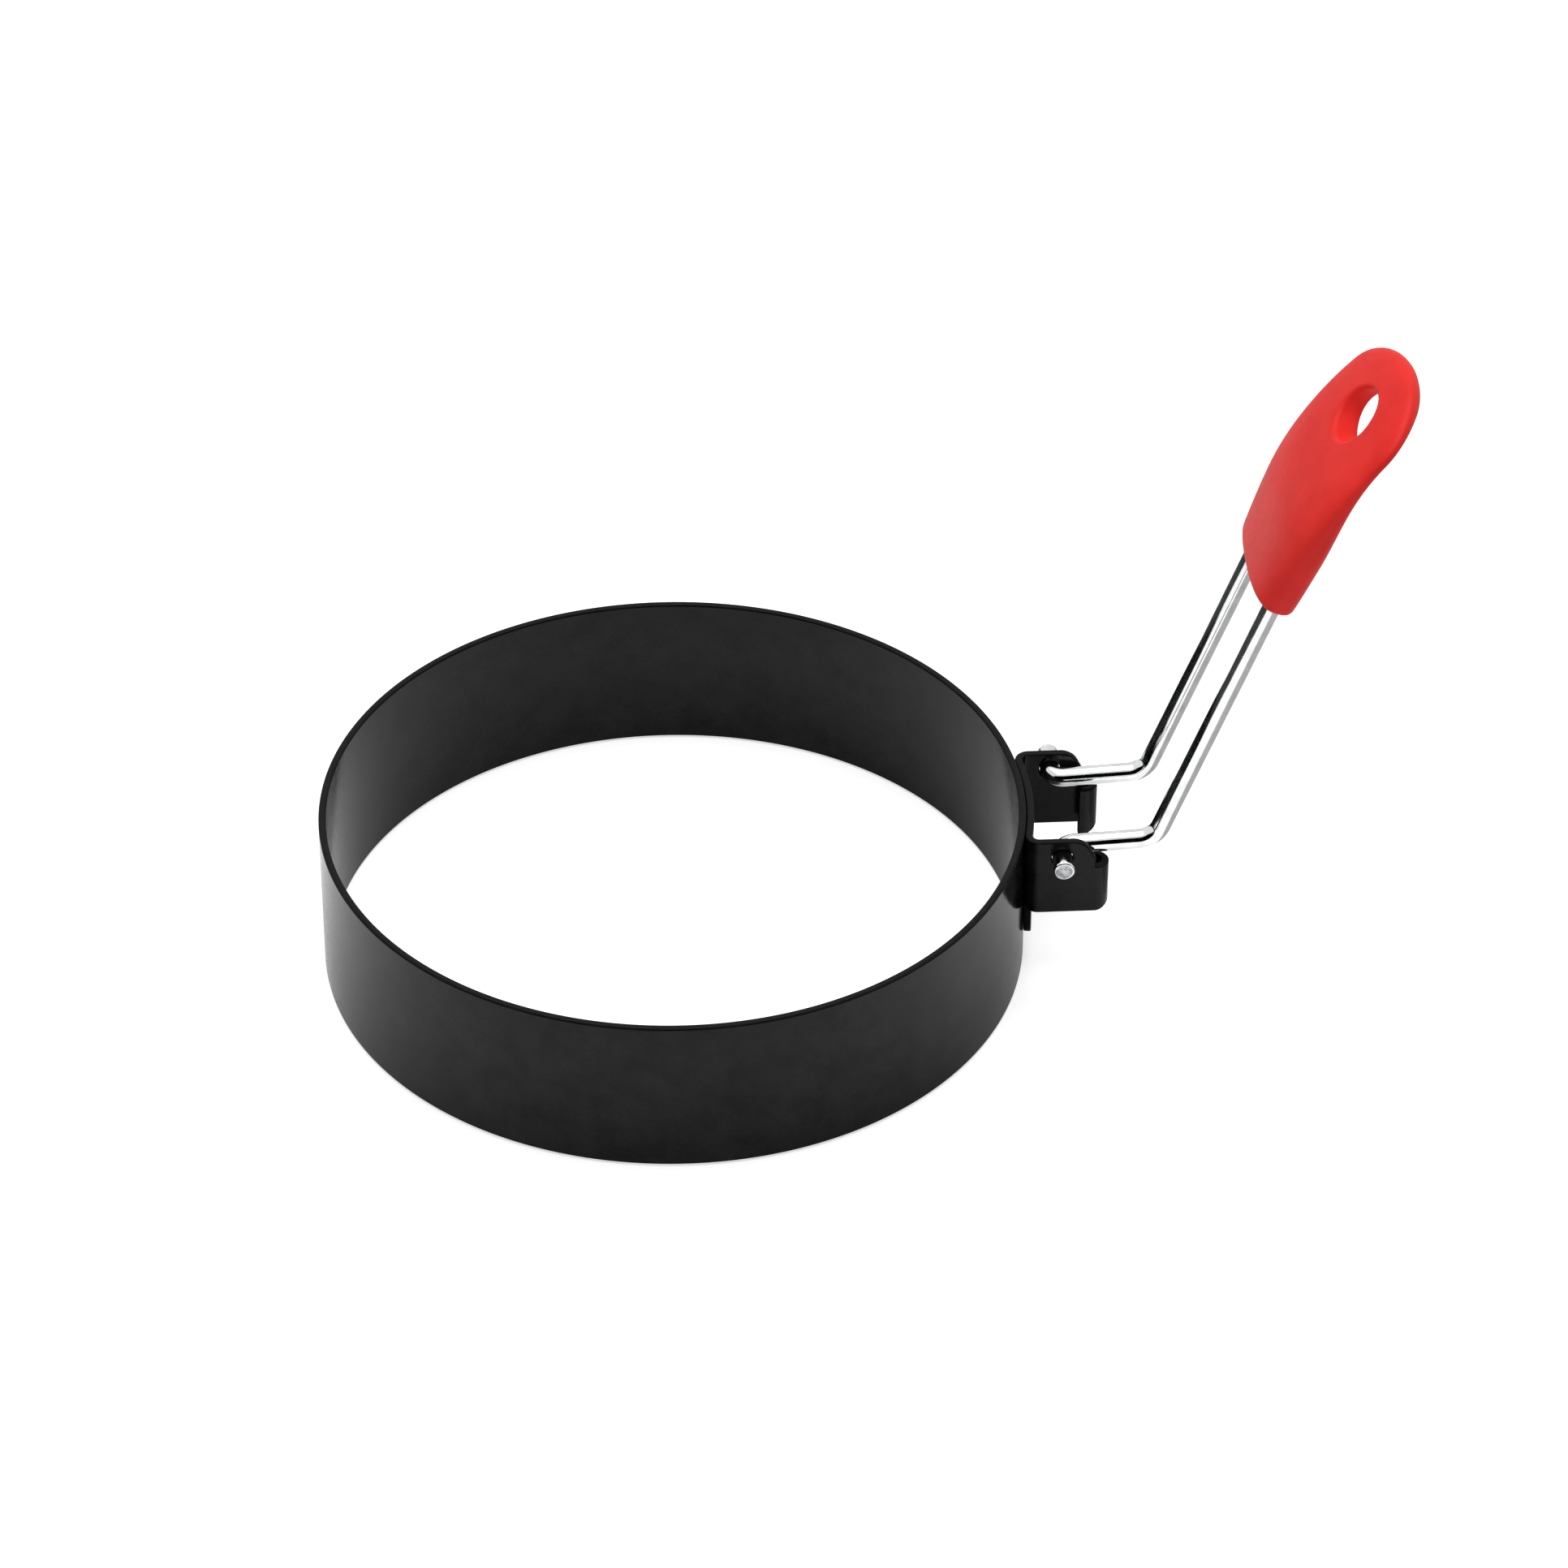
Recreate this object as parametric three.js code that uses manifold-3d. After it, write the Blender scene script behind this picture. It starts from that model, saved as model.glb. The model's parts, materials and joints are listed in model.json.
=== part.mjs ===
// Egg ring with a folding wire handle. Millimetres, +Z up, the ring standing on its lower edge.
// The handle points along +X, everything is symmetric about the XZ plane, and the origin is the
// middle of the whole footprint, on the surface that the ring stands on.
import * as THREE from 'three';
import { mergeVertices } from 'three/addons/utils/BufferGeometryUtils.js';
import Module from 'manifold-3d';

const wasm = await Module();
wasm.setup();

// Ring band: a rolled steel strip
const RING_DIAMETER = 75;
const RING_HEIGHT = 18;
const RING_WALL = 0.8;

// Handle bracket: a channel with rolled lips, bent from one sheet and welded to the band
const SHEET = 0.8;
const BEND_INSIDE = 0.7;
const WELD_GAP = 0.3;
const EAR_SPAN = 14.8;
const EAR_LENGTH = 8.4;
const EAR_HEIGHT = 9.3;
const EAR_BELOW_RIM = 0.3;
const EAR_TAPER = 1.7;
const EAR_TOP_ROUND = 1.8;
const EAR_FOOT_ROUND = 1;
const EAR_WEB = 0.9;
const PLATE_BELOW_EARS = 5;
const PLATE_ROUND = 2;
const LIP_STEP = 1;
const LIP_RETURN = 0.6;
const PIVOT_OUT = 3.3;

// Wire handle: a hairpin whose turned ends are the hinge pins
const WIRE_DIAMETER = 2.1;
const PIN_CLEARANCE = 0.1;
const PIN_BEND_INSIDE = 0.4;
const PIN_RUN = 0.1;
const PIN_PROTRUSION = 2.4;
const STOP_GAP = 0.3;
const LEG_RISE = THREE.MathUtils.degToRad(3);
const LEG_OVERHANG = 4.9;
const LEG_BEND_INSIDE = 1.6;
const ARM_BEND = THREE.MathUtils.degToRad(66.5);
const ARM_LENGTH = 32.3;

// Grip: a moulded sleeve over the loop, thick at its mouth, whose thin head curls away from the ring
const GRIP_LENGTH = 26.7;
const LOOP_DEPTH = 10.5;
const TUNNEL_CLEARANCE = 0.3;
const GRIP_SIDE_WALL = 3.2;
const GRIP_BELLY = 13;
const MOUTH_TAPER = 1.85;
const HEAD_TAPER = 0.4;
const GRIP_THICKNESS = 5.4;
const HEAD_THICKNESS = 2.3;
const NECK_START = 7;
const NECK_LENGTH = 15;
const GRIP_SWEEP = 5.2;
const SWEEP_POWER = 3.5;
const HEAD_ROUND = 5.3;
const MOUTH_ROUND = 0.5;
const TIP_ROUND = 1.1;
const HANG_HOLE_LENGTH = 5.6;
const HANG_HOLE_WIDTH = 7;
const HANG_HOLE_WALL = 3.3;

// Facets
const RING_SIDES = 96;
const WIRE_SIDES = 10;
const WIRE_STEP = 0.75;
const HOLE_SIDES = 24;
const ARC_STEPS = 4;
const GRIP_SIDES = 32;
const GRIP_ROWS = 26;
const GRIP_SQUARENESS = 3;
const TIP_SHARE = 0.06;

// How far a cutting tool runs past what it cuts
const CUT_PAST = 1;

// Sizes that follow from the ones above
const ringRadius = RING_DIAMETER / 2;
const wireRadius = WIRE_DIAMETER / 2;
const plateInside = ringRadius + WELD_GAP;
const plateOutside = plateInside + SHEET;
const earTop = RING_HEIGHT - EAR_BELOW_RIM;
const earFoot = earTop - EAR_HEIGHT;
const plateFoot = earFoot - PLATE_BELOW_EARS;
const earInner = EAR_SPAN / 2;
const earOuter = earInner + SHEET;
const earEnd = ringRadius + EAR_LENGTH;
const pinHoleRadius = wireRadius + PIN_CLEARANCE;
const pivotX = ringRadius + PIVOT_OUT;
const pivotZ = earTop - EAR_WEB - pinHoleRadius;
const lipInnerEnd = earEnd - SHEET - BEND_INSIDE - LIP_RETURN;
const legUnderside = (lipInnerEnd - pivotX) * Math.tan(LEG_RISE) - wireRadius / Math.cos(LEG_RISE);
const lipTop = pivotZ + legUnderside - STOP_GAP;
const pinBend = wireRadius + PIN_BEND_INSIDE;
const legBend = wireRadius + LEG_BEND_INSIDE;
const legY = earInner - PIN_RUN - pinBend;
const legLength = earEnd + LEG_OVERHANG - pivotX;
const tunnelRadius = wireRadius + TUNNEL_CLEARANCE;
const loopStart = LOOP_DEPTH - wireRadius - legY;

// Joins and cuts on closed meshes
function toSolid(geometry) {
  const bare = geometry.clone();
  bare.deleteAttribute('normal');
  bare.deleteAttribute('uv');
  const merged = mergeVertices(bare, 1e-5);
  const vertProperties = new Float32Array(merged.attributes.position.array);
  const triVerts = new Uint32Array(merged.index.array);
  return new wasm.Manifold(new wasm.Mesh({ numProp: 3, vertProperties, triVerts }));
}

function toGeometry(solid) {
  const mesh = solid.getMesh();
  const geometry = new THREE.BufferGeometry();
  geometry.setAttribute('position', new THREE.BufferAttribute(mesh.vertProperties, 3));
  geometry.setIndex(new THREE.BufferAttribute(mesh.triVerts, 1));
  geometry.computeVertexNormals();
  return geometry;
}

function cut(geometry, tools) {
  let solid = toSolid(geometry);
  for (const tool of tools) {
    solid = solid.subtract(toSolid(tool));
  }
  return toGeometry(solid);
}

function box(x, y, z) {
  const geometry = new THREE.BoxGeometry(x[1] - x[0], y[1] - y[0], z[1] - z[0]);
  return geometry.translate((x[0] + x[1]) / 2, (y[0] + y[1]) / 2, (z[0] + z[1]) / 2);
}

function prism(shape, depth) {
  return new THREE.ExtrudeGeometry(shape, { depth, bevelEnabled: false, curveSegments: ARC_STEPS });
}

// An arc in space, from its centre, the directions of its start and of its quarter turn, and its sweep
class SpaceArc extends THREE.Curve {
  constructor(centre, radius, start, quarter, sweep) {
    super();
    Object.assign(this, { centre, radius, start, quarter, sweep });
  }

  getPoint(t, target = new THREE.Vector3()) {
    const angle = this.sweep * t;
    target.copy(this.centre);
    target.addScaledVector(this.start, this.radius * Math.cos(angle));
    return target.addScaledVector(this.quarter, this.radius * Math.sin(angle));
  }
}

// A path that runs along one half and back along its mirror image in the XZ plane
class Hairpin extends THREE.Curve {
  constructor(half) {
    super();
    this.half = half;
  }

  getPoint(t, target = new THREE.Vector3()) {
    target.copy(this.half.getPoint(1 - Math.abs(2 * t - 1)));
    if (t > 0.5) target.y = -target.y;
    return target;
  }
}

function hairpinTube(curves, radius) {
  const half = new THREE.CurvePath();
  for (const curve of curves) half.add(curve);
  const section = new THREE.Shape().absarc(0, 0, radius, 0, 2 * Math.PI);
  return new THREE.ExtrudeGeometry(section, {
    steps: 2 * Math.ceil(half.getLength() / WIRE_STEP),
    curveSegments: WIRE_SIDES / 2,
    extrudePath: new Hairpin(half),
  });
}

// Ring band: a plain strip section turned about the axis
function ringBand() {
  const inside = ringRadius - RING_WALL;
  const profile = [
    new THREE.Vector2(inside, 0),
    new THREE.Vector2(ringRadius, 0),
    new THREE.Vector2(ringRadius, RING_HEIGHT),
    new THREE.Vector2(inside, RING_HEIGHT),
    new THREE.Vector2(inside, 0),
  ];
  return new THREE.LatheGeometry(profile, RING_SIDES).rotateX(Math.PI / 2);
}

// Plan of the channel: the plate's arc, a bend, an ear and its rolled lip, mirrored about X
function channelPlan() {
  const bendOutside = BEND_INSIDE + SHEET;
  const bendY = earInner - BEND_INSIDE;
  const bendX = Math.sqrt((plateInside + bendOutside) ** 2 - bendY ** 2);
  const turn = Math.atan2(bendY, bendX);
  const lipBendX = earEnd - bendOutside;
  const half = new THREE.Path();
  half.absarc(0, 0, plateInside, 0, turn, false);
  half.absarc(bendX, bendY, bendOutside, Math.PI + turn, Math.PI / 2, true);
  half.absarc(lipBendX, bendY, bendOutside, Math.PI / 2, -Math.PI / 2, true);
  half.lineTo(lipInnerEnd, bendY - bendOutside);
  half.lineTo(lipInnerEnd, bendY - BEND_INSIDE);
  half.absarc(lipBendX, bendY, BEND_INSIDE, -Math.PI / 2, Math.PI / 2, false);
  half.absarc(bendX, bendY, BEND_INSIDE, Math.PI / 2, Math.PI + turn, false);
  half.absarc(0, 0, plateOutside, turn, 0, true);
  const points = half.getPoints(ARC_STEPS);
  const mirrored = points.slice(1, -1).reverse();
  return new THREE.Shape([...points, ...mirrored.map((point) => new THREE.Vector2(point.x, -point.y))]);
}

// Waste outside the ears' tapered ends, which step out to the lips below the wire, drawn in X and Z
function earEndWaste() {
  const earSide = new THREE.Vector2(earEnd - LIP_STEP, lipTop);
  const corner = new THREE.Vector2(earSide.x - EAR_TAPER, earTop);
  const roundEnd = earSide.clone().sub(corner).setLength(EAR_TOP_ROUND).add(corner);
  const past = earEnd + CUT_PAST;
  const across = earOuter + CUT_PAST;
  const waste = new THREE.Shape();
  waste.moveTo(corner.x - EAR_TOP_ROUND, earTop + CUT_PAST);
  waste.lineTo(corner.x - EAR_TOP_ROUND, earTop);
  waste.quadraticCurveTo(corner.x, corner.y, roundEnd.x, roundEnd.y);
  waste.lineTo(earSide.x, lipTop);
  waste.lineTo(earEnd, lipTop);
  waste.absarc(earEnd - EAR_FOOT_ROUND, earFoot + EAR_FOOT_ROUND, EAR_FOOT_ROUND, 0, -Math.PI / 2, true);
  waste.lineTo(earEnd - EAR_FOOT_ROUND, earFoot - CUT_PAST);
  waste.lineTo(past, earFoot - CUT_PAST);
  waste.lineTo(past, earTop + CUT_PAST);
  return prism(waste, 2 * across).rotateX(Math.PI / 2).translate(0, across, 0);
}

// Waste round the plate's foot below the ears, drawn in Y and Z and run through along X
function plateFootWaste() {
  const footRound = Math.min(PLATE_ROUND, PLATE_BELOW_EARS);
  const halfWidth = earInner - BEND_INSIDE;
  const roundY = halfWidth - footRound;
  const roundZ = plateFoot + footRound;
  const reach = earOuter + CUT_PAST;
  const waste = new THREE.Shape();
  waste.moveTo(-reach, earFoot);
  waste.lineTo(-reach, plateFoot - CUT_PAST);
  waste.lineTo(reach, plateFoot - CUT_PAST);
  waste.lineTo(reach, earFoot);
  waste.lineTo(halfWidth, earFoot);
  waste.absarc(roundY, roundZ, footRound, 0, -Math.PI / 2, true);
  waste.absarc(-roundY, roundZ, footRound, -Math.PI / 2, -Math.PI, true);
  waste.lineTo(-halfWidth, earFoot);
  return prism(waste, earEnd + CUT_PAST).rotateX(Math.PI / 2).rotateZ(Math.PI / 2);
}

// Handle bracket: the bent channel, trimmed to its ears, foot and stop lips, with the pin holes
function handleBracket() {
  const channel = prism(channelPlan(), earTop - plateFoot).translate(0, 0, plateFoot);
  const across = earOuter + CUT_PAST;
  const pastEnd = earEnd + CUT_PAST;
  const belowEars = box([plateOutside, pastEnd], [-across, across], [plateFoot - CUT_PAST, earFoot]);
  const aboveLips = box([pivotX, pastEnd], [-earInner, earInner], [lipTop, earTop + CUT_PAST]);
  const pinHoles = new THREE.CylinderGeometry(pinHoleRadius, pinHoleRadius, 2 * across, HOLE_SIDES);
  pinHoles.translate(pivotX, 0, pivotZ);
  return cut(channel, [belowEars, plateFootWaste(), earEndWaste(), aboveLips, pinHoles]);
}

// Wire handle, drawn from the pivot with level legs: pin, pin bend, leg, leg bend, arm and half of the loop
function wireHandle() {
  const out = new THREE.Vector3(1, 0, 0);
  const back = new THREE.Vector3(-1, 0, 0);
  const aside = new THREE.Vector3(0, 1, 0);
  const inward = new THREE.Vector3(0, -1, 0);
  const down = new THREE.Vector3(0, 0, -1);
  const along = new THREE.Vector3(Math.cos(ARM_BEND), 0, Math.sin(ARM_BEND));
  const bendLength = legBend * Math.tan(ARM_BEND / 2);
  const bendStart = legLength - bendLength;
  const corner = new THREE.Vector3(legLength, legY, 0);
  const armStart = corner.clone().addScaledVector(along, bendLength);
  const armEnd = corner.clone().addScaledVector(along, ARM_LENGTH + loopStart);
  const pinTip = new THREE.Vector3(0, earOuter + PIN_PROTRUSION, 0);
  const pinRoot = new THREE.Vector3(0, legY + pinBend, 0);
  return hairpinTube([
    new THREE.LineCurve3(pinTip, pinRoot),
    new SpaceArc(new THREE.Vector3(pinBend, legY + pinBend, 0), pinBend, back, inward, Math.PI / 2),
    new THREE.LineCurve3(new THREE.Vector3(pinBend, legY, 0), new THREE.Vector3(bendStart, legY, 0)),
    new SpaceArc(new THREE.Vector3(bendStart, legY, legBend), legBend, down, out, ARM_BEND),
    new THREE.LineCurve3(armStart, armEnd),
    new SpaceArc(armEnd.clone().setY(0), legY, aside, along, Math.PI / 2),
  ], wireRadius);
}

// The wire's tunnel in the grip, drawn from the middle of the grip's mouth with X along the arm
function wireTunnel() {
  const mouth = new THREE.Vector3(-CUT_PAST, legY, 0);
  const loopSide = new THREE.Vector3(loopStart, legY, 0);
  const aside = new THREE.Vector3(0, 1, 0);
  const along = new THREE.Vector3(1, 0, 0);
  return hairpinTube([
    new THREE.LineCurve3(mouth, loopSide),
    new SpaceArc(new THREE.Vector3(loopStart, 0, 0), legY, aside, along, Math.PI / 2),
  ], tunnelRadius);
}

// How far a rounded edge of this radius pulls a surface in, at a distance from the end it rounds
function edgeInset(distance, radius) {
  if (distance >= radius) return 0;
  return radius - Math.sqrt(radius ** 2 - (radius - distance) ** 2);
}

// The grip's half width and half thickness, how far it sweeps away from the ring and its lean there
function gripSection(s) {
  const belly = legY + tunnelRadius + GRIP_SIDE_WALL;
  const headStart = GRIP_LENGTH - HEAD_ROUND;
  let halfWidth = belly - MOUTH_TAPER * Math.max(0, 1 - s / GRIP_BELLY) ** 2;
  halfWidth -= HEAD_TAPER * Math.max(0, (s - GRIP_BELLY) / (headStart - GRIP_BELLY)) ** 2;
  halfWidth -= edgeInset(s, MOUTH_ROUND);
  const past = Math.max(0, (s - headStart) / HEAD_ROUND);
  halfWidth *= Math.max(TIP_SHARE, Math.sqrt(1 - Math.min(1, past) ** 2));
  const neck = THREE.MathUtils.smoothstep(s, NECK_START, NECK_START + NECK_LENGTH);
  let halfThickness = THREE.MathUtils.lerp(GRIP_THICKNESS, HEAD_THICKNESS, neck) / 2;
  halfThickness -= edgeInset(s, MOUTH_ROUND) + edgeInset(GRIP_LENGTH - s, TIP_ROUND);
  const share = s / GRIP_LENGTH;
  const sweep = GRIP_SWEEP * share ** SWEEP_POWER;
  const lean = Math.atan(SWEEP_POWER * GRIP_SWEEP / GRIP_LENGTH * share ** (SWEEP_POWER - 1));
  return { halfWidth, halfThickness, sweep, lean };
}

// A closed cylinder whose rows become the grip's rounded sections, packed closer towards both ends
function gripBody() {
  const geometry = new THREE.CylinderGeometry(1, 1, 1, GRIP_SIDES, GRIP_ROWS);
  const points = geometry.attributes.position;
  const squash = (value) => Math.sign(value) * Math.abs(value) ** (2 / GRIP_SQUARENESS);
  for (let i = 0; i < points.count; i += 1) {
    const row = points.getY(i) + 0.5;
    const s = GRIP_LENGTH * (1 - Math.cos(Math.PI * row)) / 2;
    const { halfWidth, halfThickness, sweep, lean } = gripSection(s);
    const y = -halfWidth * squash(points.getX(i));
    const rise = halfThickness * squash(points.getZ(i));
    points.setXYZ(i, s + rise * Math.sin(lean), y, rise * Math.cos(lean) - sweep);
  }
  return geometry;
}

// The hang hole, straight through the head and square to the arms
function hangHole() {
  const middle = GRIP_LENGTH - HANG_HOLE_WALL - HANG_HOLE_LENGTH / 2;
  const depth = 2 * (GRIP_SWEEP + GRIP_THICKNESS);
  const outline = new THREE.Shape();
  outline.absellipse(0, 0, HANG_HOLE_LENGTH / 2, HANG_HOLE_WIDTH / 2, 0, 2 * Math.PI);
  const settings = { depth, bevelEnabled: false, curveSegments: HOLE_SIDES / 2 };
  const hole = new THREE.ExtrudeGeometry(outline, settings);
  return hole.translate(middle, 0, -depth / 2);
}

// Grip: the body with the wire's tunnel and the hang hole through its head
function grip() {
  return cut(gripBody(), [wireTunnel(), hangHole()]);
}

// Finishes
const coatedSteel = new THREE.MeshStandardMaterial({ color: 0x242425, roughness: 0.3, metalness: 0.1 });
const coatedSheet = new THREE.MeshStandardMaterial({ color: 0x1c1c1d, roughness: 0.3, metalness: 0.1 });
const polishedWire = new THREE.MeshStandardMaterial({ color: 0xc9ccce, roughness: 0.12, metalness: 1 });
const redSilicone = new THREE.MeshStandardMaterial({ color: 0xe03c3c, roughness: 0.5, metalness: 0 });

function piece(name, geometry, material) {
  const mesh = new THREE.Mesh(geometry, material);
  mesh.name = name;
  return mesh;
}

// The handle turns about its pins, its legs rise a little at rest, and the grip lies along its arms
const gripPlace = new THREE.Group();
gripPlace.position.set(legLength + ARM_LENGTH * Math.cos(ARM_BEND), 0, ARM_LENGTH * Math.sin(ARM_BEND));
gripPlace.rotation.y = -ARM_BEND;
gripPlace.add(piece('grip', grip(), redSilicone));

const handle = new THREE.Group();
handle.position.set(pivotX, 0, pivotZ);
handle.rotation.y = -LEG_RISE;
handle.add(piece('wire_handle', wireHandle(), polishedWire), gripPlace);

const eggRing = new THREE.Group();
eggRing.add(piece('ring_band', ringBand(), coatedSteel));
eggRing.add(piece('handle_bracket', handleBracket(), coatedSheet));
eggRing.add(handle);

// The footprint's middle goes to the origin
const footprint = new THREE.Box3().setFromObject(eggRing, true);
eggRing.position.x = -(footprint.min.x + footprint.max.x) / 2;

export default eggRing;
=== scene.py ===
import json
import math

import bmesh
import bpy
from mathutils import Matrix, Vector


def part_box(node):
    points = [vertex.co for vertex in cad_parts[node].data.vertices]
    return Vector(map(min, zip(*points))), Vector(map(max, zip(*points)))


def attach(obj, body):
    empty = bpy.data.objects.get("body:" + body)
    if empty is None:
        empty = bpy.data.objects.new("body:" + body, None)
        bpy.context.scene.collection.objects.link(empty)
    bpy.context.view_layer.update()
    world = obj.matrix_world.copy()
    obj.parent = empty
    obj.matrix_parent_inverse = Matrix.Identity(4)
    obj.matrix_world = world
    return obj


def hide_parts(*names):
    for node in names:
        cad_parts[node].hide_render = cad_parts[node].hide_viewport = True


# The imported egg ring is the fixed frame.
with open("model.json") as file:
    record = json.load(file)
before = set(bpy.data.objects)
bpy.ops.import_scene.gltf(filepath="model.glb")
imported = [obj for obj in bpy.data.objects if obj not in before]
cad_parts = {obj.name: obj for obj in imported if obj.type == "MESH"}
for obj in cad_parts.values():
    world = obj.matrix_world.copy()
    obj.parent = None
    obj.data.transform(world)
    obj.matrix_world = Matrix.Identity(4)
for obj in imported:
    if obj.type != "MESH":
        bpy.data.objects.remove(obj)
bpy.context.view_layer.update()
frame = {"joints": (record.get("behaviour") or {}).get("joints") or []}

# Pieces are drawn in millimetres, in the row frame, and scaled to metres when they are finished.
MM = 0.001

# Where the ring's axis and the hinge stand
band_low, band_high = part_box("ring_band")
RING_X = (band_low.x + band_high.x) / 2 / MM
PIVOT = Vector(frame["joints"][0]["pos_m"]) / MM

# Ring band: a rolled steel strip with its cut edges eased
RING_RADIUS = 37.5
RING_HEIGHT = 18.0
RING_WALL = 0.8
RIM_EASE = 0.25
RIM_EASE_STEPS = 4
RING_STEPS = 240

# Handle bracket: one pressed sheet, bent to a channel with rolled lips
SHEET = 0.8
PLATE_GAP = 0.04
BEND_MIDDLE = 1.1
EAR_MIDDLE = 7.8
EAR_END = 45.9
EAR_TOP = 17.7
EAR_FOOT = 8.4
EAR_TAPER = 1.7
EAR_TOP_ROUND = 1.2
LIP_STEP = 1.0
LIP_TOP = 14.3
LIP_FOOT_RISE = 0.6
LIP_RETURN = 0.6
PLATE_INSET = 0.3
PLATE_NOTCH_ROUND = 0.4
PLATE_FOOT = 3.4
PLATE_FOOT_ROUND = 2.0
PIN_HOLE = 1.11
PIN_HOLE_MARGIN = 0.5
PIN_HOLE_SIDES = 40
CORNER_STEPS = 8
PLATE_CREASES = 8
BEND_CREASES = 12
SHEET_EASE = 0.16
SHEET_EASE_STEPS = 3
SHEET_EASE_ANGLE = math.radians(60)

# Wire handle: a hairpin whose turned ends are the hinge pins
WIRE_RADIUS = 1.05
PIN_TIP = 10.6
PIN_HEAD_RADIUS = 1.18
PIN_HEAD_LENGTH = 0.8
PIN_BEND = 1.45
PIN_EASE = 0.3
PIN_EASE_STEPS = 4
LEG_RISE = math.radians(3)
LEG_Y = 5.85
LEG_LENGTH = 10.0
LEG_BEND = 2.65
ARM_BEND = math.radians(66.5)
ARM_LENGTH = 32.3
LOOP_START = 3.6
WIRE_SIDES = 40

# Grip: a moulded sleeve over the loop, thick at its mouth, whose thin head curls away from the ring
GRIP_LENGTH = 26.7
GRIP_HALF_WIDTH = 10.4
GRIP_BELLY = 13.0
MOUTH_TAPER = 1.85
HEAD_TAPER = 0.4
GRIP_THICKNESS = 5.4
HEAD_THICKNESS = 2.3
NECK_START = 7.0
NECK_LENGTH = 15.0
GRIP_SWEEP = 5.2
SWEEP_POWER = 3.5
HEAD_ROUND = 5.3
MOUTH_ROUND = 0.5
TIP_ROUND = 1.1
HOLE_LENGTH = 5.6
HOLE_WIDTH = 7.0
HOLE_WALL = 3.3
HOLE_ROUND = 0.5
GRIP_SQUARENESS = 2.7

# The grip's grid: its columns run round the rim, and this share of them lies across the mouth
GRIP_COLUMNS = 160
MOUTH_SHARE = 0.14
WALL_ROWS = 10
FACE_ROWS = 40

# Bends are turned in steps of about this many degrees, and in no fewer steps than this
TURN_STEP = 4.0
TURN_STEPS_LEAST = 8

# Tolerances in millimetres: vertices that merge, slivers that go, places that agree, and no width
MERGE = 1e-4
SLIVER = 1e-5
TOUCH = 1e-3
NO_WIDTH = 1e-6

# Studio, with its places and sizes in metres: a white floor, one soft light overhead, and screens that
# only reflections see
FLOOR_SIZE = 8.0
FLOOR_BELOW = 0.0002
FLOOR_LIFT = 0.6
FILL_STRENGTH = 0.28
KEY_PLACE = (0.0, 0.12, 0.99)
KEY_AIM = (0, 0, 0.02)
KEY_SIZE = 1.0
KEY_POWER = 8.6
DARK_WALL_PLACE = (0, -1.4, 0.8)
DARK_WALL_SIZE = 1.6
DARK_WALL_STRETCH = 2.5
DARK_FLOOR_SIZE = 2.0
DARK_FLOOR_X = -1.1
GREY_FLOOR_SIZE = 1.0
GREY_FLOOR_EDGE = 0.037
GREY_FLOOR_TURN = math.radians(15)
SHADED_FLOOR_SIZE = 0.14
SCREEN_ABOVE = 0.0001
SHADE_ABOVE = 0.00005

# Painted shade beside the band's foot: how far it reaches, in millimetres, and its depth on either side
SHADE_REACH = 16.0
SHADE_LEFT = 0.3
SHADE_RIGHT = 0.58

# Camera, fitted to the photograph: its angles are in radians, its distance is in metres, and its aim is
# in millimetres from the foot of the ring's axis
SENSOR_WIDTH = 36.0
CAMERA_LENS = 150.97
CAMERA_AZIMUTH = -1.6246
CAMERA_ELEVATION = 0.6458
CAMERA_DISTANCE = 0.7
CAMERA_AIM = (12.008, 3.225, RING_HEIGHT)

# The handle is drawn from its hinge with level legs, which rise a little at rest
HANDLE_PLACE = Matrix.Translation(PIVOT) @ Matrix.Rotation(-LEG_RISE, 4, "Y")


def linear(colour):
    """An sRGB hex colour as linear RGBA."""
    channels = [int(colour[i:i + 2], 16) / 255 for i in (1, 3, 5)]
    return [c / 12.92 if c <= 0.04045 else ((c + 0.055) / 1.055) ** 2.4 for c in channels] + [1.0]


def add(tree, kind, inputs=(), **settings):
    """Adds a node with its settings, and fills or links its inputs."""
    node = tree.nodes.new(kind)
    for key, value in settings.items():
        setattr(node, key, value)
    for socket, value in dict(inputs).items():
        if isinstance(value, bpy.types.NodeSocket):
            tree.links.new(value, node.inputs[socket])
        else:
            node.inputs[socket].default_value = value
    return node


def new_material(name):
    """An empty material and its node tree."""
    material = bpy.data.materials.new(name)
    material.use_nodes = True
    material.node_tree.nodes.clear()
    return material, material.node_tree


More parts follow.
